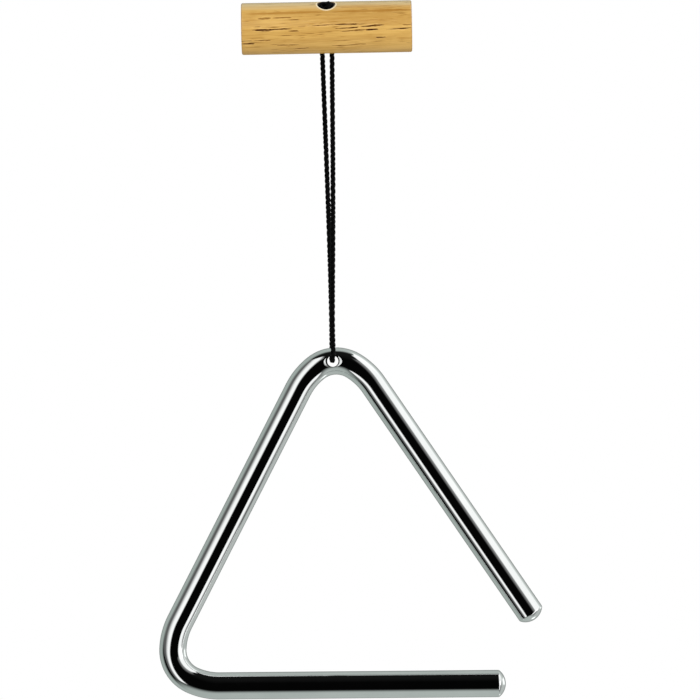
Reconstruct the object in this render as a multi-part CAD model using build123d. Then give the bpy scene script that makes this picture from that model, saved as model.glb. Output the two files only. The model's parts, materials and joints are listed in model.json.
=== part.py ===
from build123d import *
import math
import os

# Small orchestral triangle hung from a wooden handle by one doubled cord.
# Frame: origin at the middle of the handle, +X along the handle, -Y towards the player, +Z up.
# Lengths are in millimetres and angles in degrees.

# Handle: a turned dowel with a stepped cross bore.
HANDLE_LENGTH = 50.0
HANDLE_DIAMETER = 15.2
HANDLE_EDGE = 0.5
HANDLE_ROLL = 29.0
BORE_DIAMETER = 4.5
KNOT_LEDGE = 0.4
KNOT_SEAT_DEPTH = 4.8
MOUTH_BREAK = 0.3

# Cord: one length, knotted in the handle, doubled, and passed through the eye of the triangle.
CORD_DIAMETER = 1.25
CORD_CLEARANCE = 0.2
KNOT_CLEARANCE = 0.2
KNOT_RECESS = 0.1
KNOT_CROWN = 1.2
KNOT_EDGE = 0.3
NECK_LENGTH = 4.0
JOINT_GAP = 0.3
HANG_DROP = 98.0

# Triangle: one round bar with two bends, two domed free ends and a countersunk eye.
ROD_DIAMETER = 8.0
APEX_ANGLE = 61.5
CORNER_ANGLE = 62.5
CLOSED_SIDE = 119.9
OPEN_SIDE = 105.6
BASE_SIDE = 105.7
BEND_RADIUS = 9.7
SHOULDER_RADIUS = 19.4
SHOULDER_TURN = 24.6
END_CORNER = 1.0
END_CROWN = 5.0
EYE_DIAMETER = 3.3
EYE_SHIFT = 0.4
COUNTERSINK_WIDTH = 1.05
COUNTERSINK_ANGLE = 114.0
EYE_CLEARANCE = 0.12
EYE_TURN = 1.3
FACE_CLEARANCE = 0.3

handle_radius = HANDLE_DIAMETER / 2
bore_radius = BORE_DIAMETER / 2
seat_radius = bore_radius + KNOT_LEDGE
cord_radius = CORD_DIAMETER / 2
rod_radius = ROD_DIAMETER / 2
eye_radius = EYE_DIAMETER / 2
from_base = (Align.CENTER, Align.CENTER, Align.MIN)

# The bore leans towards the player at its top; this plane's Z runs up the bore.
roll = math.radians(HANDLE_ROLL)
bore_plane = Plane(origin=(0, 0, 0), x_dir=(1, 0, 0), z_dir=(0, -math.sin(roll), math.cos(roll)))
seat_floor = handle_radius - KNOT_SEAT_DEPTH
strand_offset = bore_radius - CORD_CLEARANCE - cord_radius

# The strands turn below the bore's lower mouth, clear of the ends of the strands inside it.
swing_drop = handle_radius + JOINT_GAP + cord_radius
swing_point = bore_plane.from_local_coords(Vector(0, 0, -swing_drop))
eye_centre = Vector(0, swing_point.Y, -HANG_DROP)

# The cord crosses the eye along its upper wall and runs down both faces of the bar.
cord_height = eye_centre.Z + eye_radius - cord_radius - EYE_CLEARANCE
face_offset = rod_radius + cord_radius + FACE_CLEARANCE
front_turn = Vector(0, eye_centre.Y - face_offset, cord_height)
back_turn = Vector(0, eye_centre.Y + face_offset, cord_height)
right_top = swing_point + Vector(strand_offset, 0, 0)
left_top = swing_point - Vector(strand_offset, 0, 0)


def handle_dowel():
    """Dowel with rounded end edges, a through bore for the strands and a wider seat for the knot."""
    dowel = Cylinder(handle_radius, HANDLE_LENGTH, rotation=(0, 90, 0))
    dowel = fillet(dowel.edges().filter_by(GeomType.CIRCLE), HANDLE_EDGE)
    bore = Cylinder(bore_radius, 2 * HANDLE_DIAMETER)
    seat_top = Location((0, 0, seat_floor))
    seat = seat_top * Cylinder(seat_radius, HANDLE_DIAMETER, align=from_base)
    drilled = dowel - bore - seat
    mouths = drilled.edges().filter_by(lambda edge: abs(edge.center().Z) > handle_radius - seat_radius / 2)
    mouths = mouths.filter_by(lambda edge: abs(edge.center().X) < seat_radius)
    return bore_plane * chamfer(mouths, MOUTH_BREAK)


def stopper_knot():
    """Rounded lump of the pulled-up knot, sitting on the ledge of its seat."""
    knot_height = KNOT_SEAT_DEPTH - KNOT_RECESS - KNOT_CLEARANCE
    base = Location((0, 0, knot_base()))
    lump = Cylinder(seat_radius - KNOT_CLEARANCE, knot_height, align=from_base)
    lump = fillet(lump.edges().sort_by(Axis.Z)[-1], KNOT_CROWN)
    lump = fillet(lump.edges().sort_by(Axis.Z)[0], KNOT_EDGE)
    return bore_plane * (base * lump)


def knot_base():
    """Height of the knot's underside along the bore."""
    return seat_floor + KNOT_CLEARANCE / 2


def bore_strand(side):
    """Straight strand from the knot to the bore's lower mouth, on one side of the bore."""
    length = knot_base() + handle_radius
    foot = Location((side * strand_offset, 0, -handle_radius))
    return bore_plane * (foot * Cylinder(cord_radius, length, align=from_base))


def neck_strand(top, turn):
    """Short strand below the handle, with a round head at the point where it swings."""
    along = (turn - top).normalized()
    shank = Solid.extrude(Plane(origin=top, z_dir=along) * Circle(cord_radius).face(), along * NECK_LENGTH)
    head = Location(top) * Sphere(cord_radius)
    return head + shank


def cord_loop():
    """The two taut legs and the bight that passes through the eye, as one tube."""
    neck_end = NECK_LENGTH + JOINT_GAP
    start = right_top + (front_turn - right_top).normalized() * neck_end
    finish = left_top + (back_turn - left_top).normalized() * neck_end
    route = FilletPolyline(start, front_turn, back_turn, finish, radius=[EYE_TURN, EYE_TURN])
    tube = sweep(Plane(origin=route @ 0, z_dir=route % 0) * Circle(cord_radius), path=route)
    expected = math.pi * cord_radius**2 * route.length
    print(f"cord loop: length {route.length:.1f}, turn radii {EYE_TURN}, {EYE_TURN}")
    print(f"cord loop: volume over section times length {tube.volume / expected:.4f}")
    return tube


def bend_setback(turn):
    """Distance along a side from the sharp corner of the centre line to the start of its bend."""
    half = math.radians(turn / 2)
    shoulder = math.radians(SHOULDER_TURN)
    along = SHOULDER_RADIUS * math.sin(shoulder) + BEND_RADIUS * (math.sin(half) - math.sin(shoulder))
    inward = SHOULDER_RADIUS * (1 - math.cos(shoulder)) + BEND_RADIUS * (math.cos(shoulder) - math.cos(half))
    return along + inward * math.tan(half)


def run_on(edge, length):
    """Straight run that carries on from the end of an edge."""
    return Line(edge @ 1, edge @ 1 + (edge % 1) * length)


def bend_on(edge, turn):
    """Bend that carries on from an edge: a tight middle between two easier shoulders."""
    lead_in = JernArc(edge @ 1, edge % 1, SHOULDER_RADIUS, SHOULDER_TURN)
    middle = JernArc(lead_in @ 1, lead_in % 1, BEND_RADIUS, turn - 2 * SHOULDER_TURN)
    lead_out = JernArc(middle @ 1, middle % 1, SHOULDER_RADIUS, SHOULDER_TURN)
    return [lead_in, middle, lead_out]


def end_dome():
    """Domed end of the bar: a spherical crown rolled into the bar's side by a corner round."""
    corner_centre = rod_radius - END_CORNER
    crown_centre = math.sqrt((END_CROWN - END_CORNER) ** 2 - corner_centre**2)
    split = math.degrees(math.atan2(crown_centre, corner_centre))
    corner = CenterArc((corner_centre, 0), END_CORNER, 0, split)
    crown = CenterArc((0, -crown_centre), END_CROWN, split, 90 - split)
    closing = Polyline(crown @ 1, (0, 0), (rod_radius, 0))
    profile = Plane.XZ * make_face([corner, crown, closing])
    rise = END_CROWN - crown_centre
    return revolve(profile, Axis.Z), rise


def triangle_rod():
    """Bent bar with its eye drilled through the middle of the apex bend, hanging plumb from the eye."""
    dome, rise = end_dome()
    apex_turn = 180 - APEX_ANGLE
    corner_turn = 180 - CORNER_ANGLE
    open_run = Line((0, 0), (OPEN_SIDE - bend_setback(apex_turn) - rise, 0))
    apex_bend = bend_on(open_run, apex_turn)
    closed_run = run_on(apex_bend[-1], CLOSED_SIDE - bend_setback(apex_turn) - bend_setback(corner_turn))
    corner_bend = bend_on(closed_run, corner_turn)
    base_run = run_on(corner_bend[-1], BASE_SIDE - bend_setback(corner_turn) - rise)
    centre_line = Wire([open_run, *apex_bend, closed_run, *corner_bend, base_run])

    section = Plane(origin=open_run @ 0, z_dir=open_run % 0) * Circle(rod_radius)
    bar = sweep(section, path=centre_line)
    bar += Plane(origin=open_run @ 0, z_dir=-(open_run % 0)) * dome
    bar += Plane(origin=base_run @ 1, z_dir=base_run % 1) * dome

    eye = apex_bend[1] @ (0.5 + EYE_SHIFT / apex_bend[1].length)
    sink_depth = COUNTERSINK_WIDTH / math.tan(math.radians(COUNTERSINK_ANGLE / 2))
    sink_floor = Plane(origin=eye + Vector(0, 0, rod_radius - sink_depth))
    flare_radius = eye_radius + 2 * COUNTERSINK_WIDTH
    countersink = sink_floor * Cone(eye_radius, flare_radius, 2 * sink_depth, align=from_base)
    bar -= Location(eye) * Cylinder(eye_radius, 2 * ROD_DIAMETER)
    bar -= countersink
    bar -= mirror(countersink, Plane.XY)

    # Turn the bar about its eye until its centre of mass hangs straight below.
    hang = bar.center(CenterOf.MASS) - eye
    plumb = -90 - math.degrees(math.atan2(hang.Y, hang.X))
    hung = Rotation(0, 0, plumb) * (Location(-eye) * bar)
    base_heading = math.degrees(math.atan2((base_run % 1).Y, (base_run % 1).X))
    base_tilt = (base_heading + plumb + 180) % 360 - 180
    print(f"triangle: base leans {base_tilt:.2f} degrees when it hangs")
    return Plane(origin=eye_centre, x_dir=(1, 0, 0), z_dir=(0, -1, 0)) * hung


nodes = {
    "handle_dowel": handle_dowel(),
    "stopper_knot": stopper_knot(),
    "left_bore_strand": bore_strand(-1),
    "right_bore_strand": bore_strand(1),
    "left_neck_strand": neck_strand(left_top, back_turn),
    "right_neck_strand": neck_strand(right_top, front_turn),
    "cord_loop": cord_loop(),
    "triangle_rod": triangle_rod(),
}

os.makedirs("parts", exist_ok=True)
for name, solid in nodes.items():
    export_step(solid, f"parts/{name}.step")
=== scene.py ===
"""Dresses a hand triangle: a bent chromed bar that hangs by one doubled cord from a wooden handle."""

import json
import math
from typing import NamedTuple

import bmesh
import bpy
from bpy.props import FloatProperty, FloatVectorProperty, IntProperty, PointerProperty
from mathutils import Matrix, Vector


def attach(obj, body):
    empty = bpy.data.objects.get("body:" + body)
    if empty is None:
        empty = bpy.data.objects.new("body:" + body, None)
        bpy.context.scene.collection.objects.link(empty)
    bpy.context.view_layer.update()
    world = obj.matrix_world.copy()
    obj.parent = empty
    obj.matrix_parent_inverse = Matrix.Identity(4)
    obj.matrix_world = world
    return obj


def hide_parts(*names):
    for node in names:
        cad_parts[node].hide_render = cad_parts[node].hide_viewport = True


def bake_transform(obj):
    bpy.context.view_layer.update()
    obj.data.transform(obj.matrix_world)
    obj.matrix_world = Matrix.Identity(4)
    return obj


bl_info = {
    "name": "Hanging triangle",
    "version": (1, 0, 0),
    "blender": (4, 5, 0),
    "location": "3D View > Sidebar > Triangle",
    "description": "Builds the chromed bar, the wooden handle and the twisted cord of a hand triangle",
    "category": "Add Mesh",
}

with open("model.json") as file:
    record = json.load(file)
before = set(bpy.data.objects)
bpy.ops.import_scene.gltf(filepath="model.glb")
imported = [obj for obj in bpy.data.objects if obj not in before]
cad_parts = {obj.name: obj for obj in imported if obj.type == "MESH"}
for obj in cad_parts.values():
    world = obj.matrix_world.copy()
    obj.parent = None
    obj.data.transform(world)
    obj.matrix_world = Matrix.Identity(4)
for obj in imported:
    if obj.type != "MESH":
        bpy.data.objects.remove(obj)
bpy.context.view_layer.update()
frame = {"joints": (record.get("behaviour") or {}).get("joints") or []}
joints = {joint["name"]: joint for joint in frame["joints"]}

MILLIMETRE = 0.001
MERGE_DISTANCE = 1e-6
UP = Vector((0, 0, 1))
ACROSS_BAR = Vector((0, 1, 0))
WHITE = (1.0, 1.0, 1.0)
BLACK = (0.0, 0.0, 0.0)
# Where a Mix node has its two colours and its mixed colour, among sockets that share their names.
MIX_COLOURS = slice(6, 8)
MIX_RESULT = 2

# Places from the frame: where the strands start to hang, the middle of the eye, and the way up the bore.
SWING_POINT = Vector(joints["cord_swing"]["pos_m"])
EYE_CENTRE = Vector(joints["triangle_rock"]["pos_m"])
BORE_AXIS = Vector(joints["cord_swivel"]["axis"])

# Where the bar's centre line starts, at the base of the dome on the open side, and which way it sets off.
OPEN_END = Vector((0.0567948, EYE_CENTRE.y, -0.1731338))
OPEN_HEADING = math.radians(123.4527)

# How finely the domes and the eye are divided, the slope of the eye's lip, and what stays a crisp edge.
CROWN_STEPS = 14
CORNER_STEPS = 10
EYE_STEPS = 96
EYE_ROUND_STEPS = 6
LIP_SLOPE = math.radians(6)
BAR_SHARP_ANGLE = math.radians(24)

# How finely the dowel and its bore are divided, which rims are softened, and what stays a crisp edge.
DOWEL_STEPS = 128
BORE_STEPS = 48
END_RIM_ANGLE = math.radians(80)
MOUTH_RIM_ANGLE = math.radians(40)
HANDLE_SHARP_ANGLE = math.radians(35)

# The cord's route, in millimetres. Knot and bore points are in the bore's frame, whose Z runs up the bore.
KNOT_TAIL = ((0.1, 0.35, 5.9), (0.15, 0.55, 7.2), (0.75, 0.1, 7.9), (0.85, -1.1, 7.5))
KNOT_WRAPS = 3
KNOT_WRAP_POINTS = 8
KNOT_WRAP_RADIUS = 2.0
KNOT_TOP = 6.8
KNOT_PITCH = 1.4
KNOT_LEVEL_SHARE = 0.65
SECOND_TAIL = ((-0.8, -0.2, 3.7), (-0.25, -0.3, 4.6), (-0.1, -0.2, 5.4))
BORE_POINTS = ((1.425, 0, 2.6), (1.425, 0, -5.2))
# The last points of each leg, from the eye's centre: distance to the right, outwards from the bar, and up.
FRONT_EYE_POINTS = (
    (1.0, 2.4, 47.0),
    (0.05, 4.5, 11.0),
    (0.22, 4.95, 3.1),
    (-0.1, 4.85, -0.3),
    (-0.2, 2.7, 0.75),
)
BACK_EYE_POINTS = (
    (-0.33, 3.1, 36.0),
    (-0.15, 4.5, 11.0),
    (-0.25, 4.95, 3.1),
    (-0.4, 4.8, 0.5),
    (-0.25, 2.7, 0.85),
)
# How far below the top of each leg its second point is.
LEG_BACK_OFF = 7.5

# Spacing of the points that the plies follow, and the height where the loop parts from the strands above.
CORD_STEP = 0.00022
NECK_HEIGHT = -0.012

# Radius of a ply and of the circle that the plies wind on, as shares of the cord's own radius.
PLY_SHARE = 0.59
LAY_SHARE = 0.64
# How far the lay runs ahead and falls behind along the cord: angle, and length over which it does so.
LAY_WANDER = ((0.45, 0.0031), (0.3, 0.0019))
# The filaments of a ply: how many show, how often they go round it in a metre, and how far it is round.
FILAMENTS = 5
FILAMENT_TURNS = 900.0
PLY_GIRTH = 0.0012

# Run of the grain: its tilt along the handle, and how far its fibres and flecks are drawn out.
GRAIN_TILT = math.radians(1.8)
FIBRE_STRETCH = 0.05
FLECK_STRETCH = 0.16
# How far the long vessels stray, and where the dowel's middle lies from the pith of its tree.
VESSEL_WANDER = (0.004, 0.0, 0.0006)
PITH_OFFSET = (0.0, -0.009, 0.016)
# How deep the looks of the round side and of the sawn ends go, and from where the front shows in full.
SKIN_DEPTH = 0.0006
END_DEPTH = 0.0004
FRONT_EDGE = -0.001
# Width of the pale ring round a mouth of the bore, bare wood with a painted highlight, and of the soft edge
# of the painted shade inside it.
PALE_RING = 0.00025
SHADE_EDGE = 0.00006
# Heights on the handle between which a painted highlight comes in along the top, and between which the
# lacquer thickens.
PAINTED_HIGHLIGHT_HEIGHTS = (0.0047, 0.0061)
LACQUER_HEIGHTS = (-0.003, 0.004)

# The darkest vessels on the front of the wood and its soft brown bands, in millimetres:
# place along the handle, height, half length, half thickness, slope and depth of colour.
MAIN_VESSELS = (
    (-18.2, -0.81, 3.5, 0.31, 0.01, 1.0),
    (-13.3, -0.67, 2.8, 0.26, 0.03, 0.95),
    (-20.7, 0.07, 1.2, 0.22, 0.03, 0.7),
    (-9.2, -1.3, 1.7, 0.2, 0.02, 0.65),
    (-17.8, 2.57, 2.3, 0.3, 0.02, 0.55),
    (-12.6, 2.65, 3.0, 0.26, 0.01, 0.55),
    (-23.7, -3.97, 1.6, 0.28, 0.0, 1.0),
    (-18.9, -3.85, 2.9, 0.24, 0.0, 0.72),
    (-23.2, -4.76, 1.9, 0.27, 0.02, 0.8),
    (-11.4, -5.26, 3.4, 0.23, 0.0, 0.6),
    (-7.3, -6.2, 2.1, 0.23, 0.02, 0.55),
    (-6.4, 0.02, 1.8, 0.21, 0.06, 0.5),
    (-1.0, 0.26, 3.5, 0.24, 0.03, 0.75),
    (6.4, 0.41, 4.6, 0.27, 0.01, 0.85),
    (13.3, -0.19, 3.8, 0.34, 0.05, 1.0),
    (6.0, -0.64, 3.9, 0.24, 0.05, 0.8),
    (7.7, -1.46, 4.2, 0.23, 0.045, 0.65),
    (13.4, -1.22, 2.1, 0.32, 0.03, 1.0),
    (21.6, -1.15, 4.2, 0.26, 0.06, 1.0),
    (24.1, -0.02, 1.3, 0.24, 0.02, 0.65),
    (15.8, -3.52, 1.8, 0.24, 0.01, 0.8),
    (4.6, -5.6, 3.0, 0.23, 0.02, 0.6),
    (9.6, -5.38, 3.0, 0.22, 0.04, 0.5),
    (13.5, 1.63, 2.8, 0.25, 0.02, 0.35),
)
SOFT_BANDS = (
    (-12.4, 4.1, 13.5, 0.75, 0.012, 0.55),
    (14.5, 4.3, 14.0, 0.75, 0.008, 0.62),
    (-22.0, 2.2, 2.6, 0.55, 0.0, 0.35),
    (-21.5, -3.1, 3.6, 0.30, 0.0, 0.35),
    (9.3, 3.6, 4.2, 0.5, 0.02, 0.3),
    (-3.0, -2.9, 3.0, 0.30, 0.0, 0.25),
    (22.8, -3.8, 2.8, 0.28, 0.01, 0.4),
    (7.8, -4.7, 2.2, 0.26, 0.01, 0.4),
)

# The studio: the point that the panels stand round, the floor, the lamp and the dark of the room in front.
STUDIO_MIDDLE = Vector((0.004, 0.004, -0.14))
PANEL_DISTANCE = 0.9
PANEL_STEPS = 24
FLOOR_RADIUS = 1.3
FLOOR_HEIGHT = -0.32
FILL_PLACE = Vector((-0.15, -1.2, 0.35))
FILL_SIZE = 0.7
ROOM_GREY = (0.0015, 0.0015, 0.0015)
CEILING_GREY = (0.007, 0.007, 0.007)


class BarSettings(bpy.types.PropertyGroup):
    """Sizes and finish of the chromed bar."""

    diameter: FloatProperty(
        name="Diameter", description="Thickness of the round bar", default=0.008, unit="LENGTH"
    )
    open_run: FloatProperty(
        name="Open side",
        description="Straight run from the free end up to the top bend",
        default=0.0814238,
        unit="LENGTH",
    )
    closed_run: FloatProperty(
        name="Closed side",
        description="Straight run between the two bends",
        default=0.0766041,
        unit="LENGTH",
    )
    base_run: FloatProperty(
        name="Base",
        description="Straight run from the lower bend to the free end",
        default=0.0818719,
        unit="LENGTH",
    )
    bend_radius: FloatProperty(
        name="Bend radius", description="Radius of the middle of each bend", default=0.0097, unit="LENGTH"
    )
    shoulder_radius: FloatProperty(
        name="Shoulder radius",
        description="Radius where a bend eases into a run",
        default=0.0194,
        unit="LENGTH",
    )
    shoulder_turn: FloatProperty(
        name="Shoulder turn",
        description="Turn taken by each shoulder",
        default=math.radians(24.6),
        unit="ROTATION",
    )
    apex_turn: FloatProperty(
        name="Top turn",
        description="Whole turn of the top bend",
        default=math.radians(118.5),
        unit="ROTATION",
    )
    corner_turn: FloatProperty(
        name="Corner turn",
        description="Whole turn of the lower bend",
        default=math.radians(117.5),
        unit="ROTATION",
    )
    end_corner: FloatProperty(
        name="End corner",
        description="Radius between the bar's side and its domed end",
        default=0.001,
        unit="LENGTH",
    )
    end_crown: FloatProperty(
        name="End crown", description="Radius of the crown on each free end", default=0.005, unit="LENGTH"
    )
    eye_diameter: FloatProperty(
        name="Eye", description="Bore that the cord passes through", default=0.0033, unit="LENGTH"
    )
    sink_width: FloatProperty(
        name="Countersink",
        description="Width of the countersink at each mouth of the eye",
        default=0.00105,
        unit="LENGTH",
    )
    sink_angle: FloatProperty(
        name="Countersink angle",
        description="Whole angle of the countersink's cone",
        default=math.radians(132.0),
        unit="ROTATION",
    )
    sink_round: FloatProperty(
        name="Bore edge",
        description="Round between the countersink and the bore",
        default=0.00014,
        unit="LENGTH",
    )
    lip_round: FloatProperty(
        name="Countersink lip",
        description="Round on the countersink's outer edge",
        default=0.0003,
        unit="LENGTH",
    )
    section_steps: IntProperty(name="Section steps", description="Faces round the bar", default=96, min=12)
    bright: FloatVectorProperty(
        name="Bright chrome",
        description="Colour of the clean plating",
        default=(0.86, 0.875, 0.87),
        subtype="COLOR",
    )
    hazy: FloatVectorProperty(
        name="Hazy chrome",
        description="Colour where handling has dulled it",
        default=(0.80, 0.82, 0.815),
        subtype="COLOR",
    )


class HandleSettings(bpy.types.PropertyGroup):
    """Sizes and finish of the wooden handle."""

    length: FloatProperty(name="Length", description="Length of the dowel", default=0.05, unit="LENGTH")
    diameter: FloatProperty(
        name="Diameter", description="Thickness of the dowel", default=0.0152, unit="LENGTH"
    )
    edge: FloatProperty(name="Edge", description="Round on the end edges", default=0.0005, unit="LENGTH")
    roll: FloatProperty(
        name="Roll",
        description="Lean of the bore towards the player",
        default=math.atan2(-BORE_AXIS.y, BORE_AXIS.z),
        unit="ROTATION",
    )
    bore_diameter: FloatProperty(
        name="Bore", description="Cross bore for the two strands", default=0.0045, unit="LENGTH"
    )
    seat_diameter: FloatProperty(
        name="Knot seat",
        description="Wider top of the bore, where the knot sits",
        default=0.0053,
        unit="LENGTH",
    )
    seat_floor: FloatProperty(
        name="Seat floor",
        description="Height of the knot's ledge above the axis",
        default=0.0028,
        unit="LENGTH",
    )
    mouth_break: FloatProperty(
        name="Mouth break", description="Softened edge of each mouth", default=0.0003, unit="LENGTH"
    )
    light_wood: FloatVectorProperty(
        name="Early wood",
        description="Lighter bands of the grain",
        default=(0.685, 0.415, 0.112),
        subtype="COLOR",
    )
    dark_wood: FloatVectorProperty(
        name="Late wood",
        description="Darker bands of the grain",
        default=(0.54, 0.302, 0.069),
        subtype="COLOR",
    )
    stain: FloatVectorProperty(
        name="Pore sides",
        description="Stained wood on either side of a pore",
        default=(0.34, 0.127, 0.0),
        subtype="COLOR",
    )
    # The same colour is also painted as shade inside the bore.
    vessel: FloatVectorProperty(
        name="Vessels",
        description="Open pores along the grain",
        default=(0.05, 0.007, 0.0),
        subtype="COLOR",
    )
    # Painted highlight: a paler colour along the top of the handle that stands in for light from above.
    painted_top_highlight: FloatVectorProperty(
        name="Bleached top",
        description="Wood that light has faded along the top",
        default=(0.60, 0.50, 0.25),
        subtype="COLOR",
    )
    pale_edge: FloatVectorProperty(
        name="Pale edges",
        description="Wood that catches the light beside a pore",
        default=(0.88, 0.56, 0.18),
        subtype="COLOR",
    )
    end_grain: FloatVectorProperty(
        name="End grain",
        description="Dark side of the rings on the sawn ends",
        default=(0.40, 0.212, 0.046),
        subtype="COLOR",
    )
    # Bare wood round the mouths of the bore, painted paler as a highlight where the broken edge catches the
    # light.
    bare_wood_highlight: FloatVectorProperty(
        name="Fresh cut",
        description="Bare wood round the mouths of the bore",
        default=(0.86, 0.72, 0.46),
        subtype="COLOR",
    )


class CordSettings(bpy.types.PropertyGroup):
    """Sizes and finish of the twisted cord."""

    diameter: FloatProperty(
        name="Diameter", description="Thickness over the plies", default=0.00125, unit="LENGTH"
    )
    loop_length: FloatProperty(
        name="Loop length",
        description="Cord from one strand below the handle to the other",
        default=0.18,
        unit="LENGTH",
    )
    ply_pitch: FloatProperty(
        name="Ply pitch", description="Length in which a ply goes once round", default=0.0047, unit="LENGTH"
    )
    plies: IntProperty(name="Plies", description="Yarns that are laid together", default=3, min=2)
    dye: FloatVectorProperty(
        name="Dye", description="Colour of the yarn", default=(0.0005, 0.0005, 0.0005), subtype="COLOR"
    )
    worn: FloatVectorProperty(
        name="Worn yarn",
        description="Colour of the raised fibres",
        default=(0.0028, 0.0028, 0.0029),
        subtype="COLOR",
    )


class StageSettings(bpy.types.PropertyGroup):
    """Camera and studio."""

    camera_distance: FloatProperty(
        name="Camera distance", description="From the lens to the bar", default=1.5, unit="LENGTH"
    )
    view_width: FloatProperty(
        name="View width", description="Width of the picture at the bar", default=0.20615, unit="LENGTH"
    )
    camera_roll: FloatProperty(
        name="Camera roll",
        description="Tilt of the camera about its own axis",
        default=math.radians(-1.05),
        unit="ROTATION",
    )
    view_centre: FloatVectorProperty(
        name="View centre",
        description="Point in the middle of the picture",
        default=(0.00512, 0.004133, -0.0948),
        subtype="XYZ",
        unit="LENGTH",
    )
    left_grey: FloatVectorProperty(
        name="Left wall",
        description="Light that the wall sends back on the left",
        default=(0.40, 0.455, 0.43),
        subtype="COLOR",
    )
    right_grey: FloatVectorProperty(
        name="Right wall",
        description="Light that the wall sends back on the right",
        default=(0.53, 0.56, 0.545),
        subtype="COLOR",
    )
    even_light: FloatProperty(name="Even light", description="Soft light from all round", default=0.63)
    panel_light: FloatProperty(name="Panels", description="Brightness of the side panels", default=1.13)
    fill_light: FloatProperty(
        name="Fill", description="Power of the lamp above the camera", default=4.4, unit="POWER"
    )


# Mesh tools


def new_piece(name, bm):
    """Makes an object at the origin from a finished bmesh."""
    mesh = bpy.data.meshes.new(name)
    bm.to_mesh(mesh)
    bm.free()
    piece = bpy.data.objects.new(name, mesh)
    bpy.context.scene.collection.objects.link(piece)
    return piece


def only(kind, geometry):
    """The items of one kind among what an operator gave back."""
    return [item for item in geometry if isinstance(item, kind)]


def clean_up(bm):
    """Closes seams and poles and turns every face outwards."""
    bmesh.ops.remove_doubles(bm, verts=bm.verts, dist=MERGE_DISTANCE)
    bmesh.ops.recalc_face_normals(bm, faces=bm.faces)


def shade(bm, sharp_angle):
    """Smooth shading, with a crisp edge wherever two faces meet at more than the angle."""
    for face in bm.faces:
        face.smooth = True
    for edge in bm.edges:
        edge.smooth = edge.calc_face_angle(0.0) < sharp_angle


def lathe(points, steps, matrix):
    """Spins an open profile of (radius, height) points round the matrix's Z axis into a closed solid."""
    bm = bmesh.new()
    verts = [bm.verts.new((radius, 0, height)) for radius, height in points]
    edges = [bm.edges.new(pair) for pair in zip(verts, verts[1:])]
    bmesh.ops.spin(
        bm, geom=verts + edges, cent=(0, 0, 0), axis=UP, angle=math.tau, steps=steps, use_merge=True
    )
    bmesh.ops.transform(bm, matrix=matrix, verts=bm.verts)
    clean_up(bm)
    return bm


def slice_at(bm, place, normal, clear_outer=False):
    """Cuts a bmesh along a plane, and may clear what lies in front of it."""
    geometry = [*bm.verts, *bm.edges, *bm.faces]
    bmesh.ops.bisect_plane(
        bm, geom=geometry, dist=MERGE_DISTANCE, plane_co=place, plane_no=normal, clear_outer=clear_outer
    )


def cut_away(solid, cutter):
    """What is left of a solid when a cutter's solid is taken out of it."""
    piece = new_piece("solid", solid)
    tool = new_piece("cutter", cutter)
    cut = piece.modifiers.new("cut", "BOOLEAN")
    cut.operation = "DIFFERENCE"
    cut.solver = "EXACT"
    cut.object = tool
    left = bmesh.new()
    left.from_object(piece, bpy.context.evaluated_depsgraph_get())
    for used in (piece, tool):
        bpy.data.meshes.remove(used.data)
    clean_up(left)
    return left


# Node tools


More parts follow.
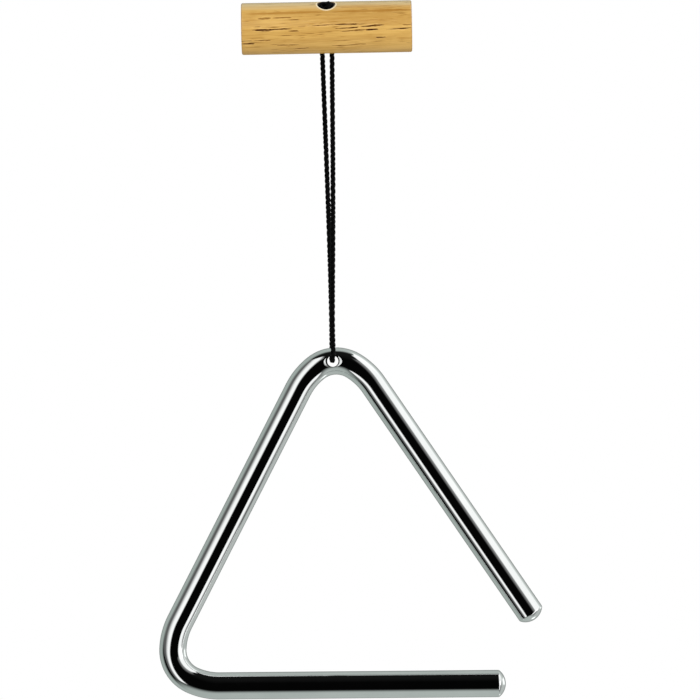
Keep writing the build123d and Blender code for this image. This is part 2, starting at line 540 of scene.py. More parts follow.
class Nodes:
    """Adds nodes to a tree. Inputs are plain values or outputs, and most methods return an output."""

    def __init__(self, tree):
        self.tree = tree

    def feed(self, socket, value):
        """Links an output to an input, or sets the input to a plain value."""
        if isinstance(value, bpy.types.NodeSocket):
            self.tree.links.new(value, socket)
        else:
            socket.default_value = value

    def add(self, kind, inputs=None, **properties):
        """Any shader node, with its properties set and its named or numbered inputs fed."""
        node = self.tree.nodes.new("ShaderNode" + kind)
        for name, value in properties.items():
            setattr(node, name, value)
        for name, value in (inputs or {}).items():
            self.feed(node.inputs[name], value)
        return node

    def math(self, operation, *values, use_clamp=False):
        """The result of a Math node."""
        node = self.add("Math", dict(enumerate(values)), operation=operation, use_clamp=use_clamp)
        return node.outputs["Value"]

    def vector(self, operation, *values):
        """The result of a Vector Math node: a value for a length, and otherwise a vector."""
        node = self.add("VectorMath", dict(enumerate(values)), operation=operation)
        return node.outputs["Value" if operation == "LENGTH" else "Vector"]

    def axes(self, vector):
        """The X, Y and Z of a vector."""
        return self.add("SeparateXYZ", {"Vector": vector}).outputs

    def mapped(self, vector, location=(0, 0, 0), rotation=(0, 0, 0), scale=(1, 1, 1)):
        """A vector scaled, turned and moved."""
        inputs = {"Vector": vector, "Location": location, "Rotation": rotation, "Scale": scale}
        return self.add("Mapping", inputs).outputs["Vector"]

    def attribute(self, name):
        """A value that the mesh carries at each point."""
        return self.add("Attribute", attribute_name=name).outputs["Fac"]

    def fade(self, value, start, end, low=0.0, high=1.0, soft=False):
        """Goes from low where the value is at start to high where it is at end."""
        inputs = {"Value": value, "From Min": start, "From Max": end, "To Min": low, "To Max": high}
        interpolation = "SMOOTHSTEP" if soft else "LINEAR"
        return self.add("MapRange", inputs, interpolation_type=interpolation).outputs["Result"]

    def noise(self, vector, scale, detail):
        """The outputs of a Noise Texture."""
        return self.add("TexNoise", {"Vector": vector, "Scale": scale, "Detail": detail}).outputs

    def mottle(self, vector, scale, detail, low, high):
        """Uneven patches between a low and a high value."""
        inputs = {"Vector": vector, "Scale": scale, "Detail": detail, "Low": low, "High": high}
        return self.add("Group", inputs, node_tree=mottle_group()).outputs["Value"]

    def mix(self, factor, first, second):
        """A colour between two others."""
        mixed = self.add("Mix", {"Factor": factor}, data_type="RGBA")
        for socket, colour in zip(mixed.inputs[MIX_COLOURS], (first, second)):
            self.feed(socket, colour if isinstance(colour, bpy.types.NodeSocket) else (*colour, 1.0))
        return mixed.outputs[MIX_RESULT]

    def bump(self, height, strength, distance):
        """The surface's normal, tilted by a relief."""
        inputs = {"Height": height, "Strength": strength, "Distance": distance}
        return self.add("Bump", inputs).outputs["Normal"]

    def glow(self, strength):
        """A shader of plain white light."""
        return self.add("Emission", {"Color": (*WHITE, 1.0), "Strength": strength}).outputs["Emission"]

    def clear(self):
        """A shader that lets everything through."""
        return self.add("BsdfTransparent").outputs["BSDF"]

    def principled(self, inputs):
        """The shader of a solid surface, joined to the material's output."""
        self.show(self.add("BsdfPrincipled", inputs).outputs["BSDF"])

    def show(self, shader):
        """Joins a shader to the material's output."""
        self.add("OutputMaterial", {"Surface": shader})


def fresh_nodes(owner):
    """Empties the node tree of a material or a world, ready for new nodes."""
    owner.use_nodes = True
    owner.node_tree.nodes.clear()
    return Nodes(owner.node_tree)


def new_material(name):
    """Starts a material and returns it with its empty node tree."""
    material = bpy.data.materials.new(name)
    return material, fresh_nodes(material)


def new_group(name, vectors, values, outputs):
    """Starts a shader node group and returns its nodes, what comes into it and what goes out of it."""
    tree = bpy.data.node_groups.new(name, "ShaderNodeTree")
    for socket in vectors:
        tree.interface.new_socket(name=socket, in_out="INPUT", socket_type="NodeSocketVector")
    for socket, default in values.items():
        made = tree.interface.new_socket(name=socket, in_out="INPUT", socket_type="NodeSocketFloat")
        made.default_value = default
    for socket in outputs:
        tree.interface.new_socket(name=socket, in_out="OUTPUT", socket_type="NodeSocketFloat")
    return Nodes(tree), tree.nodes.new("NodeGroupInput").outputs, tree.nodes.new("NodeGroupOutput").inputs


def mottle_group():
    """Uneven patches: a value that wanders between Low and High."""
    name = "Mottle"
    if name in bpy.data.node_groups:
        return bpy.data.node_groups[name]
    values = {"Scale": 100.0, "Detail": 3.0, "Low": 0.0, "High": 1.0}
    nodes, start, end = new_group(name, ("Vector",), values, ("Value",))
    noise = nodes.noise(start["Vector"], start["Scale"], start["Detail"])["Fac"]
    nodes.feed(end["Value"], nodes.fade(noise, 0.3, 0.7, start["Low"], start["High"], soft=True))
    return nodes.tree


def vessel_group():
    """One long pore in wood: a soft mask round a centre, sheared by its slope along X, and a wider rim."""
    name = "Vessel"
    if name in bpy.data.node_groups:
        return bpy.data.node_groups[name]
    sizes = {"Half Length": 1.0, "Half Thickness": 1.0, "Slope": 0.0}
    values = {**sizes, "Core": 0.4, "Depth": 1.0, "Thinning": 1.0}
    nodes, start, end = new_group(name, ("Vector", "Centre"), values, ("Mask", "Rim"))
    x, _, z = nodes.axes(nodes.vector("SUBTRACT", start["Vector"], start["Centre"]))
    height = nodes.math("SUBTRACT", z, nodes.math("MULTIPLY", x, start["Slope"]))
    taper = nodes.math("POWER", nodes.math("DIVIDE", x, start["Half Length"]), 4.0)
    aside = nodes.math("ABSOLUTE", nodes.math("DIVIDE", height, start["Half Thickness"]))
    uneven = nodes.math("MULTIPLY", aside, start["Thinning"])
    for output, spread, edge in (("Mask", 1.0, start["Core"]), ("Rim", 0.42, 0.6)):
        away = nodes.math("MULTIPLY_ADD", uneven, spread, taper)
        nodes.feed(end[output], nodes.fade(away, 1.0, edge, 0.0, start["Depth"], soft=True))
    return nodes.tree


# Chromed bar


class BarWalker:
    """Carries the ring of the bar's section along the centre line, leaving the bar's skin behind it."""

    run_step = 0.0025
    bend_step = 0.00022

    def __init__(self, bm, place, heading):
        self.bm = bm
        self.ring = [edge for edge in bm.edges if edge.is_boundary]
        self.place = place.copy()
        self.heading = heading

    def ahead(self):
        """The way the bar is going."""
        return bar_direction(self.heading)

    def run(self, length):
        """Goes straight on."""
        steps = round(length / self.run_step)
        self.spin(self.place, 0.0, steps, self.ahead() * (length / steps))
        self.place += self.ahead() * length

    def arc(self, radius, turn):
        """Goes round to the left."""
        steps = round(radius * turn / self.bend_step)
        centre = self.place + Matrix.Rotation(-math.pi / 2, 3, ACROSS_BAR) @ self.ahead() * radius
        self.spin(centre, turn, steps, Vector())
        self.place = centre + Matrix.Rotation(-turn, 3, ACROSS_BAR) @ (self.place - centre)
        self.heading += turn

    def bend(self, bar, turn):
        """Goes round a tight middle between two easier shoulders."""
        self.arc(bar.shoulder_radius, bar.shoulder_turn)
        self.arc(bar.bend_radius, turn - 2 * bar.shoulder_turn)
        self.arc(bar.shoulder_radius, bar.shoulder_turn)

    def spin(self, centre, turn, steps, shift):
        """Sweeps the ring and keeps its last copy."""
        swept = bmesh.ops.spin(
            self.bm, geom=self.ring, cent=centre, axis=-ACROSS_BAR, dvec=shift, angle=turn, steps=steps
        )
        self.ring = only(bmesh.types.BMEdge, swept["geom_last"])


def bar_direction(heading):
    """Unit vector of a heading in the plane of the triangle."""
    return Vector((math.cos(heading), 0, math.sin(heading)))


def add_dome(bm, bar, place, outward):
    """Spins a domed end whose open base is at the place and whose pole points outwards."""
    corner_centre = bar.diameter / 2 - bar.end_corner
    crown_depth = math.sqrt((bar.end_crown - bar.end_corner) ** 2 - corner_centre**2)
    corner_turn = math.atan2(crown_depth, corner_centre)
    hinge = outward.cross(ACROSS_BAR)
    pole = bm.verts.new(place + outward * (bar.end_crown - crown_depth))
    known = set(bm.verts) - {pole}
    arcs = (
        (place - outward * crown_depth, math.pi / 2 - corner_turn, CROWN_STEPS),
        (place + ACROSS_BAR * corner_centre, corner_turn, CORNER_STEPS),
    )
    tip = [pole]
    for centre, turn, steps in arcs:
        arc = bmesh.ops.spin(bm, geom=tip, cent=centre, axis=hinge, angle=turn, steps=steps)
        tip = only(bmesh.types.BMVert, arc["geom_last"])
    profile = [vert for vert in bm.verts if vert not in known]
    edges = {edge for vert in profile for edge in vert.link_edges}
    bmesh.ops.spin(
        bm,
        geom=profile + list(edges),
        cent=place,
        axis=outward,
        angle=math.tau,
        steps=bar.section_steps,
        use_merge=True,
    )
    bmesh.ops.remove_doubles(bm, verts=bm.verts, dist=MERGE_DISTANCE)


def bar_mesh(bar):
    """The whole bar before its eye is drilled."""
    bm = bmesh.new()
    add_dome(bm, bar, OPEN_END, -bar_direction(OPEN_HEADING))
    walker = BarWalker(bm, OPEN_END, OPEN_HEADING)
    walker.run(bar.open_run)
    walker.bend(bar, bar.apex_turn)
    walker.run(bar.closed_run)
    walker.bend(bar, bar.corner_turn)
    walker.run(bar.base_run)
    add_dome(bm, bar, walker.place, walker.ahead())
    clean_up(bm)
    return bm


def round_corner(before, corner, after, radius):
    """Points of the arc that rounds a corner of a profile."""
    inward = (before - corner).normalized()
    outward = (after - corner).normalized()
    half = inward.angle(outward) / 2
    start = corner + inward * radius / math.tan(half)
    centre = corner + (inward + outward).normalized() * radius / math.sin(half)
    turn = math.copysign(math.pi - 2 * half, outward.cross(inward))
    turns = [turn * step / EYE_ROUND_STEPS for step in range(EYE_ROUND_STEPS + 1)]
    return [centre + Matrix.Rotation(turned, 2) @ (start - centre) for turned in turns]


def eye_cutter(bar):
    """Solid of the eye: a bore that rolls into a softly lipped countersink at both faces of the bar."""
    radius = bar.eye_diameter / 2
    face = bar.diameter / 2
    sink_slope = math.pi / 2 - bar.sink_angle / 2
    middle = Vector((radius, 0))
    sink = Vector((radius, face - bar.sink_width * math.tan(sink_slope)))
    lip = Vector((radius + bar.sink_width, face))
    beyond = lip + Vector((1, math.tan(LIP_SLOPE))) * face
    half = [
        *round_corner(middle, sink, lip, bar.sink_round),
        *round_corner(sink, lip, beyond, bar.lip_round),
        beyond,
        Vector((beyond.x, bar.diameter)),
        Vector((0, bar.diameter)),
    ]
    profile = [(point.x, -point.y) for point in reversed(half)] + [tuple(point) for point in half]
    matrix = Matrix.Translation(EYE_CENTRE) @ Matrix.Rotation(-math.pi / 2, 4, "X")
    return lathe(profile, EYE_STEPS, matrix)


def chrome_material(bar):
    """Bright plating with faint handling haze and hairline polish marks."""
    material, nodes = new_material("chromed_steel")
    place = nodes.add("TexCoord").outputs["Object"]
    haze = nodes.mottle(place, scale=85.0, detail=4.0, low=0.0, high=1.0)
    polish = nodes.noise(nodes.mapped(place, scale=(1.0, 6.0, 1.0)), scale=2600.0, detail=2.0)["Fac"]
    nodes.principled(
        {
            "Metallic": 1.0,
            "Base Color": nodes.mix(haze, bar.bright, bar.hazy),
            "Roughness": nodes.mottle(place, scale=260.0, detail=5.0, low=0.035, high=0.075),
            "Normal": nodes.bump(polish, strength=0.012, distance=0.00005),
        }
    )
    return material


class TRIANGLE_OT_chromed_bar(bpy.types.Operator):
    """Bend, dome and drill the chromed bar"""

    bl_idname = "triangle.chromed_bar"
    bl_label = "Chromed bar"

    def execute(self, context):
        bar = context.scene.triangle_bar
        bm = cut_away(bar_mesh(bar), eye_cutter(bar))
        shade(bm, BAR_SHARP_ANGLE)
        piece = new_piece("chromed_bar", bm)
        piece.data.materials.append(chrome_material(bar))
        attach(piece, "triangle")
        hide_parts("triangle_rod")
        return {"FINISHED"}


# Wooden handle


def bore_matrix(handle):
    """Frame of the cross bore: X along the handle, Z up the bore."""
    return Matrix.Rotation(handle.roll, 4, "X")


def dowel_mesh(handle):
    """The turned dowel before it is drilled, parted on either side of the bore."""
    radius = handle.diameter / 2
    bm = bmesh.new()
    bmesh.ops.create_cone(
        bm,
        cap_ends=True,
        segments=DOWEL_STEPS,
        radius1=radius,
        radius2=radius,
        depth=handle.length,
        matrix=Matrix.Rotation(math.pi / 2, 4, "Y"),
    )
    rims = [edge for edge in bm.edges if edge.calc_face_angle(0.0) > END_RIM_ANGLE]
    bmesh.ops.bevel(
        bm, geom=rims, offset=handle.edge, affect="EDGES", segments=5, profile=0.5, material=-1
    )
    for side in (-1, 1):
        slice_at(bm, (side * handle.seat_diameter, 0, 0), (1, 0, 0))
    clean_up(bm)
    return bm


def bore_cutter(handle):
    """Solid of the stepped cross bore."""
    reach = handle.diameter
    floor = handle.seat_floor
    bore = handle.bore_diameter / 2
    seat = handle.seat_diameter / 2
    profile = ((0, -reach), (bore, -reach), (bore, floor), (seat, floor), (seat, reach), (0, reach))
    return lathe(profile, BORE_STEPS, bore_matrix(handle))


def soften_mouths(bm, handle):
    """Breaks the edge of the bore's two mouths."""
    inward = bore_matrix(handle).inverted()
    reach = handle.seat_diameter / 2 + MERGE_DISTANCE * 10
    skin = handle.diameter / 2 - handle.seat_diameter / 4
    rim = []
    for edge in bm.edges:
        ends = [inward @ vert.co for vert in edge.verts]
        at_mouth = all(math.hypot(end.x, end.y) < reach and abs(end.z) > skin for end in ends)
        if at_mouth and edge.calc_face_angle(0.0) > MOUTH_RIM_ANGLE:
            rim.append(edge)
    bmesh.ops.bevel(
        bm,
        geom=rim,
        offset=handle.mouth_break,
        affect="EDGES",
        segments=2,
        profile=0.5,
        material=-1,
        clamp_overlap=True,
    )


def front_skin(nodes, handle, place):
    """Mask of the front of the handle's round side, off its ends and its bore."""
    radius = handle.diameter / 2
    from_axis = nodes.vector("LENGTH", nodes.vector("MULTIPLY", place, (0.0, 1.0, 1.0)))
    skin = nodes.fade(from_axis, radius - SKIN_DEPTH, radius - SKIN_DEPTH / 3)
    facing = nodes.fade(nodes.axes(place)["Y"], 0.0, FRONT_EDGE)
    return nodes.math("MULTIPLY", skin, facing)


def plain_wood(nodes, handle, place, grain, fibre):
    """Slow bands of early and late wood, under a painted highlight along the top of the handle."""
    bands = nodes.mottle(fibre, scale=520.0, detail=5.0, low=0.0, high=0.9)
    blush = nodes.mottle(grain, scale=90.0, detail=3.0, low=-0.2, high=0.2)
    threads = nodes.mottle(fibre, scale=2700.0, detail=3.0, low=-0.26, high=0.26)
    tone = nodes.math("ADD", bands, nodes.math("ADD", blush, threads), use_clamp=True)
    wood = nodes.mix(tone, handle.light_wood, handle.dark_wood)
    height = nodes.math("MULTIPLY_ADD", bands, -0.0011, nodes.axes(place)["Z"])
    # Painted highlight: the top of the handle is made paler where the light from above falls.
    painted_highlight_mask = nodes.fade(height, *PAINTED_HIGHLIGHT_HEIGHTS, high=0.55, soft=True)
    return nodes.mix(painted_highlight_mask, wood, handle.painted_top_highlight)


def sawn_ends(nodes, handle, place, colour):
    """End grain: growth rings round a pith outside the dowel, darker because it drinks up more oil."""
    pith = nodes.mapped(place, location=PITH_OFFSET)
    rings = nodes.add(
        "TexWave",
        {"Vector": pith, "Scale": 190.0, "Distortion": 1.6, "Detail": 2.0, "Detail Scale": 1.2},
        wave_type="RINGS",
        rings_direction="X",
    )
    sawn = nodes.mix(rings.outputs["Fac"], handle.end_grain, handle.dark_wood)
    outward = nodes.math("ABSOLUTE", nodes.axes(place)["X"])
    end = handle.length / 2
    return nodes.mix(nodes.fade(outward, end - END_DEPTH, end - END_DEPTH / 4), colour, sawn)


def vessel_masks(nodes, place, vessels, core, thinning):
    """The strongest mask and the strongest rim of a list of vessels at each place."""
    strongest = {"Mask": 0.0, "Rim": 0.0}
    for along, height, half_length, half_thickness, slope, depth in vessels:
        inputs = {
            "Vector": place,
            "Centre": (along * MILLIMETRE, 0.0, height * MILLIMETRE),
            "Half Length": half_length * MILLIMETRE,
            "Half Thickness": half_thickness * MILLIMETRE,
            "Slope": slope,
            "Core": core,
            "Depth": depth,
            "Thinning": thinning,
        }
        vessel = nodes.add("Group", inputs, node_tree=vessel_group())
        for output, so_far in strongest.items():
            strongest[output] = nodes.math("MAXIMUM", vessel.outputs[output], so_far)
    return strongest["Mask"], strongest["Rim"]


def long_vessels(nodes, handle, place, grain, fibre):
    """Masks of what is on the front of the handle: soft bands, dark vessels and the vessels' pale rims."""
    front = front_skin(nodes, handle, place)
    wobble = nodes.noise(fibre, scale=2400.0, detail=3.0)["Color"]
    either_way = nodes.vector("SUBTRACT", wobble, (0.5, 0.5, 0.5))
    wander = nodes.vector("MULTIPLY_ADD", either_way, VESSEL_WANDER, place)
    lumps = nodes.mottle(place, scale=420.0, detail=3.0, low=1.6, high=0.85)
    soft, _ = vessel_masks(nodes, wander, SOFT_BANDS, 0.0, lumps)
    vessels, rims = vessel_masks(nodes, wander, MAIN_VESSELS, 0.6, lumps)
    flecks = nodes.mapped(grain, scale=(FLECK_STRETCH, 1.0, 1.0))
    breaks = nodes.fade(nodes.noise(flecks, scale=3600.0, detail=2.0)["Fac"], 0.3, 0.46, low=0.5)
    soft, vessels, rims = (nodes.math("MULTIPLY", mask, front) for mask in (soft, vessels, rims))
    return soft, nodes.math("MULTIPLY", vessels, breaks), rims


def fine_pores(nodes, fibre):
    """Mask of the fine pores: short dashes along the grain, thicker in patches."""
    pores = nodes.noise(fibre, scale=3300.0, detail=2.0)["Fac"]
    patches = nodes.mottle(fibre, scale=420.0, detail=2.0, low=0.66, high=0.53)
    return nodes.fade(pores, patches, 0.74, high=0.75)


def drilled_mouths(nodes, handle, place, colour):
    """Bare wood where the drill broke through, painted paler as a highlight, and painted shade inside the
    bore in the pores' dark colour.
    """
    bore = nodes.mapped(place, rotation=(-handle.roll, 0, 0))
    from_bore = nodes.vector("LENGTH", nodes.vector("MULTIPLY", bore, (1.0, 1.0, 0.0)))
    seat = handle.seat_diameter / 2
    mouth = seat + handle.mouth_break
    # Bare wood round each mouth, painted paler as a highlight.
    bare_wood_highlight_mask = nodes.fade(from_bore, mouth + PALE_RING, mouth)
    # Painted shade inside the bore, in the pores' dark colour.
    painted_bore_shade = nodes.fade(from_bore, seat + SHADE_EDGE, seat, high=0.85)
    return nodes.mix(painted_bore_shade, nodes.mix(bare_wood_highlight_mask, colour, handle.bare_wood_highlight), handle.vessel)


def wood_material(handle):
    """Oiled open-grained hardwood: soft bands, fine pores and a few long dark vessels."""
    material, nodes = new_material("hardwood")
    place = nodes.add("TexCoord").outputs["Object"]
    grain = nodes.mapped(place, rotation=(0, GRAIN_TILT, 0))
    fibre = nodes.mapped(grain, scale=(FIBRE_STRETCH, 1.0, 1.0))
    colour = plain_wood(nodes, handle, place, grain, fibre)
    colour = sawn_ends(nodes, handle, place, colour)

    soft, vessels, rims = long_vessels(nodes, handle, place, grain, fibre)
    dark = nodes.math("MAXIMUM", vessels, fine_pores(nodes, fibre))
    colour = nodes.mix(soft, colour, handle.stain)
    colour = nodes.mix(nodes.math("MULTIPLY", rims, 0.35), colour, handle.pale_edge)
    colour = nodes.mix(dark, colour, handle.stain)
    colour = nodes.mix(nodes.fade(dark, 0.3, 0.85), colour, handle.vessel)

    # The lacquer is thicker on top and doesn't bridge the open pores.
    lacquer = nodes.fade(nodes.axes(place)["Z"], *LACQUER_HEIGHTS, low=0.25)
    closed = nodes.math("MULTIPLY_ADD", dark, -0.9, 1.0)
    nodes.principled(
        {
            "Coat Roughness": 0.16,
            "Coat IOR": 1.8,
            "Specular IOR Level": 0.1,
            "Base Color": drilled_mouths(nodes, handle, place, colour),
            "Roughness": nodes.mottle(fibre, scale=900.0, detail=3.0, low=0.42, high=0.56),
            "Coat Weight": nodes.math("MULTIPLY", lacquer, closed),
            "Normal": nodes.bump(nodes.math("MULTIPLY", dark, -1.0), strength=0.35, distance=0.00012),
        }
    )
    return material


class TRIANGLE_OT_wooden_handle(bpy.types.Operator):
    """Turn and drill the wooden handle"""

    bl_idname = "triangle.wooden_handle"
    bl_label = "Wooden handle"

    def execute(self, context):
        handle = context.scene.triangle_handle
        bm = cut_away(dowel_mesh(handle), bore_cutter(handle))
        soften_mouths(bm, handle)
        shade(bm, HANDLE_SHARP_ANGLE)
        piece = new_piece("wooden_handle", bm)
        piece.data.materials.append(wood_material(handle))
        piece.visible_glossy = False
        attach(piece, "handle")
        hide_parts("handle_dowel")
        return {"FINISHED"}


# Cord


def knot_wraps():
    """The turns of the knot: each runs level from the front round the back, then drops to the next one."""
    wraps = []
    for index in range(KNOT_WRAPS * KNOT_WRAP_POINTS - 1):
        wrap, share = divmod(index / KNOT_WRAP_POINTS, 1)
        turn = math.tau * share
        fall = wrap + max(0.0, share - KNOT_LEVEL_SHARE) / (1 - KNOT_LEVEL_SHARE)
        across = -KNOT_WRAP_RADIUS * math.sin(turn)
        wraps.append((across, -KNOT_WRAP_RADIUS * math.cos(turn), KNOT_TOP - KNOT_PITCH * fall))
    return tuple(wraps)


def leg_points(top, foot):
    """A leg's top point and the point that keeps it straight below the handle."""
    return [top, top + (foot - top).normalized() * LEG_BACK_OFF * MILLIMETRE]


def cord_route(handle):
    """Control points of the cord: from one cut tail through the knot, down, through the eye and back up."""
    bore = bore_matrix(handle)
    right_side = [bore @ (Vector(point) * MILLIMETRE) for point in KNOT_TAIL + knot_wraps() + BORE_POINTS]
    left_bore = [(-x, y, z) for x, y, z in reversed(BORE_POINTS)]
    left_side = [bore @ (Vector(point) * MILLIMETRE) for point in (*left_bore, *SECOND_TAIL)]
    forward = [EYE_CENTRE + Vector((x, -y, z)) * MILLIMETRE for x, y, z in FRONT_EYE_POINTS]
    backward = [EYE_CENTRE + Vector((x, y, z)) * MILLIMETRE for x, y, z in reversed(BACK_EYE_POINTS)]
    aside = Vector((BORE_POINTS[0][0] * MILLIMETRE, 0, 0))
    right_leg = leg_points(SWING_POINT + aside, forward[0])
    left_leg = leg_points(SWING_POINT - aside, backward[-1])
    return [*right_side, *right_leg, *forward, *backward, *reversed(left_leg), *left_side]


def new_spline(kind, places):
    """Makes a curve with one spline and returns both."""
    curve = bpy.data.curves.new("cord_line", "CURVE")
    curve.dimensions = "3D"
    spline = curve.splines.new(kind)
    spline.points.add(len(places) - 1)
    for point, place in zip(spline.points, places):
        point.co = (*place, 1.0)
    return curve, spline


def curve_mesh(curve):
    """Turns a curve into a mesh and removes the curve."""
    mesh = bpy.data.meshes.new_from_object(bpy.data.objects.new(curve.name, curve))
    bpy.data.curves.remove(curve)
    return mesh


def spline_points(control_points):
    """Points read from one smooth spline along the route."""
    curve, spline = new_spline("NURBS", control_points)
    spline.order_u = 3
    spline.use_endpoint_u = True
    spline.resolution_u = 32
    mesh = curve_mesh(curve)
    points = [vert.co.copy() for vert in mesh.vertices]
    bpy.data.meshes.remove(mesh)
    return points


def even_points(points):
    """The same line with its points a step apart."""
    even = [points[0]]
    left = CORD_STEP
    for start, end in zip(points, points[1:]):
        span = (end - start).length
        while span > 0 and left <= span:
            even.append(start.lerp(end, left / span))
            left += CORD_STEP
        left -= span
    return even


def ply_lines(points, cord):
    """The centre lines of the plies, wound round the cord's line."""
    lay_radius = cord.diameter / 2 * LAY_SHARE
    lines = [[] for _ in range(cord.plies)]
    ahead = (points[1] - points[0]).normalized()
    side = ahead.orthogonal().normalized()
    for index, point in enumerate(points):
        following = points[min(index + 1, len(points) - 1)] - points[max(index - 1, 0)]
        turned = ahead.rotation_difference(following.normalized())
        side = turned @ side
        ahead = following.normalized()
        distance = index * CORD_STEP
        wander = sum(angle * math.sin(distance / length) for angle, length in LAY_WANDER)
        for ply, line in enumerate(lines):
            turn = math.tau * (distance / cord.ply_pitch + ply / cord.plies) + wander
            line.append(point + Matrix.Rotation(turn, 3, ahead) @ side * lay_radius)
    return lines


def ply_mesh(line, radius):
    """A round tube along one ply, with how far along and how far round it each point is."""
    curve, _ = new_spline("POLY", line)
    curve.bevel_depth = radius
    curve.bevel_resolution = 3
    mesh = curve_mesh(curve)
    ring = len(mesh.vertices) // len(line)
    along = mesh.attributes.new("cord_along", "FLOAT", "POINT")
    around = mesh.attributes.new("cord_round", "FLOAT", "POINT")
    along.data.foreach_set("value", [index // ring * CORD_STEP for index in range(len(mesh.vertices))])
    around.data.foreach_set("value", [index % ring / ring for index in range(len(mesh.vertices))])
    return mesh


def rope_mesh(points, cord):
    """The laid cord along its whole route."""
    bm = bmesh.new()
    for line in ply_lines(points, cord):
        mesh = ply_mesh(line, cord.diameter / 2 * PLY_SHARE)
        bm.from_mesh(mesh)
        bpy.data.meshes.remove(mesh)
    cap_ends(bm)
    return bm


def cap_ends(bm):
    """Closes the open ends of the plies."""
    open_edges = [edge for edge in bm.edges if edge.is_boundary]
    bmesh.ops.holes_fill(bm, edges=open_edges, sides=0)
    bmesh.ops.recalc_face_normals(bm, faces=bm.faces)
    for face in bm.faces:
        face.smooth = True


def cut_rope(rope, place, normal):
    """A copy of the rope with only what lies behind a plane, closed where it is cut."""
    bm = rope.copy()
    slice_at(bm, place, normal, clear_outer=True)
    cap_ends(bm)
    return bm


def cord_material(cord):
    """Black laid yarn: fine filaments that run round each ply, a little greyer where they are rubbed."""
    material, nodes = new_material("black_cord")
    along = nodes.attribute("cord_along")
    around = nodes.attribute("cord_round")
    lay = nodes.math("MULTIPLY_ADD", along, FILAMENT_TURNS, around)
    ridges = nodes.math("SINE", nodes.math("MULTIPLY", lay, math.tau * FILAMENTS))
    strip = nodes.add("CombineXYZ", {"X": along, "Y": around}).outputs["Vector"]
    spread = nodes.mapped(strip, scale=(1.0, PLY_GIRTH, 1.0))
    rub = nodes.mottle(spread, scale=1500.0, detail=3.0, low=0.0, high=0.8)
    wear = nodes.math("MULTIPLY", rub, nodes.fade(ridges, -1.0, 1.0, low=0.25))
    nodes.principled(
        {
            "Sheen Weight": 0.01,
            "Sheen Roughness": 0.4,
            "Specular IOR Level": 0.1,
            "Base Color": nodes.mix(wear, cord.dye, cord.worn),
            "Roughness": nodes.mottle(spread, scale=2600.0, detail=2.0, low=0.5, high=0.72),
            "Normal": nodes.bump(ridges, strength=0.5, distance=0.00003),
        }
    )
    return material


class TRIANGLE_OT_twisted_cord(bpy.types.Operator):
    """Lay the cord along its route and part it at the places where it bends"""

    bl_idname = "triangle.twisted_cord"
    bl_label = "Twisted cord"

    def execute(self, context):
        cord = context.scene.triangle_cord
        handle = context.scene.triangle_handle
        points = even_points(spline_points(cord_route(handle)))
        rope = rope_mesh(points, cord)

        neck = Vector((0, 0, NECK_HEIGHT))
        hanging = new_piece("hanging_loop", cut_rope(rope, neck, UP))
        above = cut_rope(rope, neck, -UP)
        bore = bore_matrix(handle)
        knot_base = bore @ Vector((0, 0, handle.seat_floor))
        bore_axis = bore.to_3x3() @ UP
        knot = new_piece("stopper_knot_cord", cut_rope(above, knot_base, -bore_axis))
        strands = new_piece("bore_strands", cut_rope(above, knot_base, bore_axis))
        rope.free()
        above.free()
        finish = cord_material(cord)
        for piece in (hanging, knot, strands):
            piece.data.materials.append(finish)

        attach(knot, "cord_head")
        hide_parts("stopper_knot")
        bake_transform(strands)
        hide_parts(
            "left_bore_strand", "right_bore_strand", "left_neck_strand", "right_neck_strand"
        )
        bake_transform(hanging)
        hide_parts("cord_loop")
        return {"FINISHED"}


# Stage


class LightPanel(NamedTuple):
    """A white panel that the bar reflects."""

    # Rows from the foot upwards, as seen from the bar: elevation, near side and far side, in degrees.
    rows: tuple
    # Shares of its width: how far in it fades from its near side, and where it starts and stops to fall off.
    near_fade: float = 0.3
    far_start: float = 0.6
    far_end: float = 1.0
    # What is left of its light past there, the share of each end that fades out, and its level.
    far_level: float = 0.0
    end_fade: float = 0.2
    level: float = 0.8


PANELS = {
    "left_panel": LightPanel(
        rows=((-44, -30, -66), (-18, -26.5, -72), (9, -16.2, -94), (42, -14.7, -94), (57, -24, -100)),
        near_fade=0.15,
        far_start=0.3,
        far_end=0.75,
        far_level=0.1,
        end_fade=0.04,
        level=1.0,
    ),
    "right_panel": LightPanel(
        rows=((-48, 40, 86), (-20, 41.5, 93), (24, 42, 134), (50, 44, 144), (67, 58, 150)),
        near_fade=0.11,
        far_start=0.39,
        far_end=0.9,
        far_level=0.08,
        end_fade=0.04,
        level=1.0,
    ),
    "dim_panel": LightPanel(
        rows=((0, 23.5, 49), (20, 21.5, 49), (50, 23.5, 51)),
        near_fade=0.7,
        far_start=0.9,
        far_level=1.0,
        end_fade=0.1,
        level=0.22,
    ),
    "base_strip": LightPanel(rows=((-14, 56, 91), (14, 56, 91)), far_start=0.85),
    "base_glint": LightPanel(rows=((-12, 106, 146), (12, 106, 146)), far_start=0.5, level=0.65),
    "end_glint": LightPanel(rows=((-55, 122, 148), (-37, 126, 150))),
}


def direction(azimuth, elevation):
    """Unit vector from the bar: azimuth 0 is towards the camera, positive to the right of the picture."""
    raised = Matrix.Rotation(math.radians(-elevation), 3, "X") @ -ACROSS_BAR
    return Matrix.Rotation(math.radians(azimuth), 3, "Z") @ raised


def panel_material(name, panel, strength):
    """White light that fades at the panel's edges and lets the room behind show through."""
    material, nodes = new_material(name)
    across = nodes.attribute("across")
    upward = nodes.attribute("upward")
    fades = (
        (across, 0.0, panel.near_fade, 0.0, 1.0),
        (across, panel.far_start, panel.far_end, 1.0, panel.far_level),
        (across, 1.0, 1.0 - panel.end_fade, 0.0, 1.0),
        (upward, 0.0, panel.end_fade, 0.0, 1.0),
        (upward, 1.0, 1.0 - panel.end_fade, 0.0, 1.0),
    )
    level = strength * panel.level
    for fade in fades:
        level = nodes.math("MULTIPLY", nodes.fade(*fade, soft=True), level)
    nodes.show(nodes.add("AddShader", {0: nodes.glow(level), 1: nodes.clear()}).outputs["Shader"])
    return material


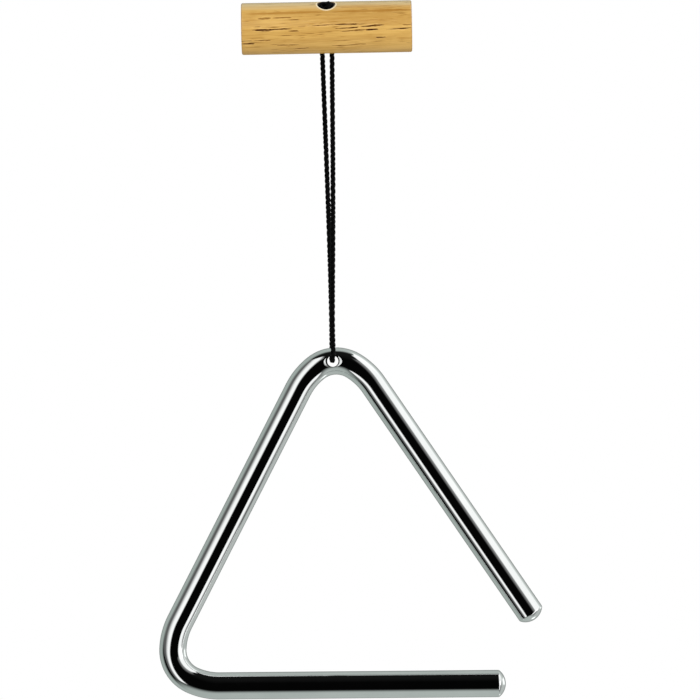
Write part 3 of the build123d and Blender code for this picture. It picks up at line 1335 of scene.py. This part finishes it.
def add_panel(name, panel, strength):
    """Hangs a curved white panel that the bar reflects and the camera doesn't see."""
    spans = len(panel.rows) - 1
    bm = bmesh.new()
    across = bm.verts.layers.float.new("across")
    upward = bm.verts.layers.float.new("upward")
    bmesh.ops.create_grid(bm, x_segments=PANEL_STEPS, y_segments=PANEL_STEPS, size=0.5)
    for vert in bm.verts:
        vert[across] = vert.co.x + 0.5
        vert[upward] = vert.co.y + 0.5
        row = min(int(vert[upward] * spans), spans - 1)
        share = vert[upward] * spans - row
        height, near, far = (low + (high - low) * share for low, high in zip(*panel.rows[row : row + 2]))
        vert.co = STUDIO_MIDDLE + direction(near + (far - near) * vert[across], height) * PANEL_DISTANCE
    piece = new_piece(name, bm)
    piece.data.materials.append(panel_material(name, panel, strength))
    piece.visible_camera = False


def studio_world(stage):
    """A pale wall behind, a dark room in front, a pale floor; white for the camera, even light for wood."""
    world = bpy.data.worlds.new("studio")
    nodes = fresh_nodes(world)
    # Each limit is a part of the unit vector that points the way a ray looks.
    x, y, z = nodes.axes(nodes.add("TexCoord").outputs["Generated"])
    wall = nodes.fade(y, -0.12, 0.28, soft=True)
    floor = nodes.fade(z, -0.62, -0.95, soft=True)
    grey = nodes.mix(nodes.fade(x, -0.7, 0.8), stage.left_grey, stage.right_grey)
    grey = nodes.mix(nodes.fade(y, 0.68, 0.92, high=0.42, soft=True), grey, BLACK)
    dark = nodes.mix(nodes.fade(z, 0.4, 0.85), ROOM_GREY, CEILING_GREY)
    room = nodes.mix(nodes.math("MAXIMUM", wall, floor), dark, grey)
    rays = nodes.add("LightPath").outputs
    lit = nodes.mix(rays["Is Diffuse Ray"], room, [stage.even_light] * 3)
    shown = nodes.mix(rays["Is Camera Ray"], lit, WHITE)
    background = nodes.add("Background", {"Color": shown, "Strength": 1.0})
    nodes.add("OutputWorld", {"Surface": background.outputs["Background"]})
    bpy.context.scene.world = world


def floor_material():
    """Even pale light on the upper face, and clear from below so that the floor hides nothing."""
    material, nodes = new_material("floor")
    underside = nodes.add("NewGeometry").outputs["Backfacing"]
    shown = nodes.add("MixShader", {"Fac": underside, 1: nodes.glow(1.0), 2: nodes.clear()})
    nodes.show(shown.outputs["Shader"])
    return material


def add_floor():
    """A plain pale floor well below the bar, seen from above only."""
    bm = bmesh.new()
    bmesh.ops.create_circle(bm, cap_ends=True, segments=96, radius=FLOOR_RADIUS)
    bmesh.ops.translate(bm, verts=bm.verts, vec=(0, 0, FLOOR_HEIGHT))
    floor = new_piece("floor", bm)
    floor.data.materials.append(floor_material())
    floor.visible_glossy = False
    floor.visible_diffuse = False


def add_camera(stage):
    """Camera level with the middle of the picture, looking at the front of the bar."""
    data = bpy.data.cameras.new("camera")
    data.lens = data.sensor_width * stage.camera_distance / stage.view_width
    camera = bpy.data.objects.new("camera", data)
    camera.matrix_world = (
        Matrix.Translation(Vector(stage.view_centre) - ACROSS_BAR * stage.camera_distance)
        @ Matrix.Rotation(math.pi / 2, 4, "X")
        @ Matrix.Rotation(stage.camera_roll, 4, "Z")
    )
    bpy.context.scene.collection.objects.link(camera)
    bpy.context.scene.camera = camera


def add_fill(stage):
    """A soft lamp above the camera that lights wood and cord but leaves no shape in the chrome."""
    data = bpy.data.lights.new("front_fill", "AREA")
    data.shape = "DISK"
    data.size = FILL_SIZE
    data.energy = stage.fill_light
    lamp = bpy.data.objects.new("front_fill", data)
    lamp.location = FILL_PLACE
    lamp.rotation_mode = "QUATERNION"
    lamp.rotation_quaternion = (-FILL_PLACE).to_track_quat("-Z", "Y")
    lamp.visible_glossy = False
    lamp.visible_camera = False
    bpy.context.scene.collection.objects.link(lamp)


class TRIANGLE_OT_studio(bpy.types.Operator):
    """Set up the camera, the pale floor and the soft studio light"""

    bl_idname = "triangle.studio"
    bl_label = "Studio"

    def execute(self, context):
        stage = context.scene.triangle_stage
        context.scene.view_settings.view_transform = "Standard"
        add_camera(stage)
        studio_world(stage)
        add_floor()
        for name, panel in PANELS.items():
            add_panel(name, panel, stage.panel_light)
        add_fill(stage)
        return {"FINISHED"}


class TRIANGLE_PT_sidebar(bpy.types.Panel):
    """Lists the pieces of the triangle with their settings"""

    bl_idname = "TRIANGLE_PT_sidebar"
    bl_label = "Hanging triangle"
    bl_space_type = "VIEW_3D"
    bl_region_type = "UI"
    bl_category = "Triangle"

    def draw(self, context):
        for operator, (name, group) in zip(OPERATORS, GROUPS.items()):
            box = self.layout.box()
            box.operator(operator.bl_idname)
            for setting in group.__annotations__:
                box.prop(getattr(context.scene, name), setting)


# Each operator has the group of settings in the same place of the other list.
OPERATORS = (
    TRIANGLE_OT_studio,
    TRIANGLE_OT_twisted_cord,
    TRIANGLE_OT_chromed_bar,
    TRIANGLE_OT_wooden_handle,
)
GROUPS = {
    "triangle_stage": StageSettings,
    "triangle_cord": CordSettings,
    "triangle_bar": BarSettings,
    "triangle_handle": HandleSettings,
}
CLASSES = (*GROUPS.values(), *OPERATORS, TRIANGLE_PT_sidebar)


def register():
    """Adds the classes and gives the scene their settings."""
    for item in CLASSES:
        bpy.utils.register_class(item)
    for name, group in GROUPS.items():
        setattr(bpy.types.Scene, name, PointerProperty(type=group))


def unregister():
    """Takes the settings and the classes away again."""
    for name in GROUPS:
        delattr(bpy.types.Scene, name)
    for item in reversed(CLASSES):
        bpy.utils.unregister_class(item)


def main():
    """Builds every piece."""
    register()
    bpy.ops.triangle.studio()
    bpy.ops.triangle.twisted_cord()
    bpy.ops.triangle.chromed_bar()
    bpy.ops.triangle.wooden_handle()


if __name__ == "__main__":
    main()
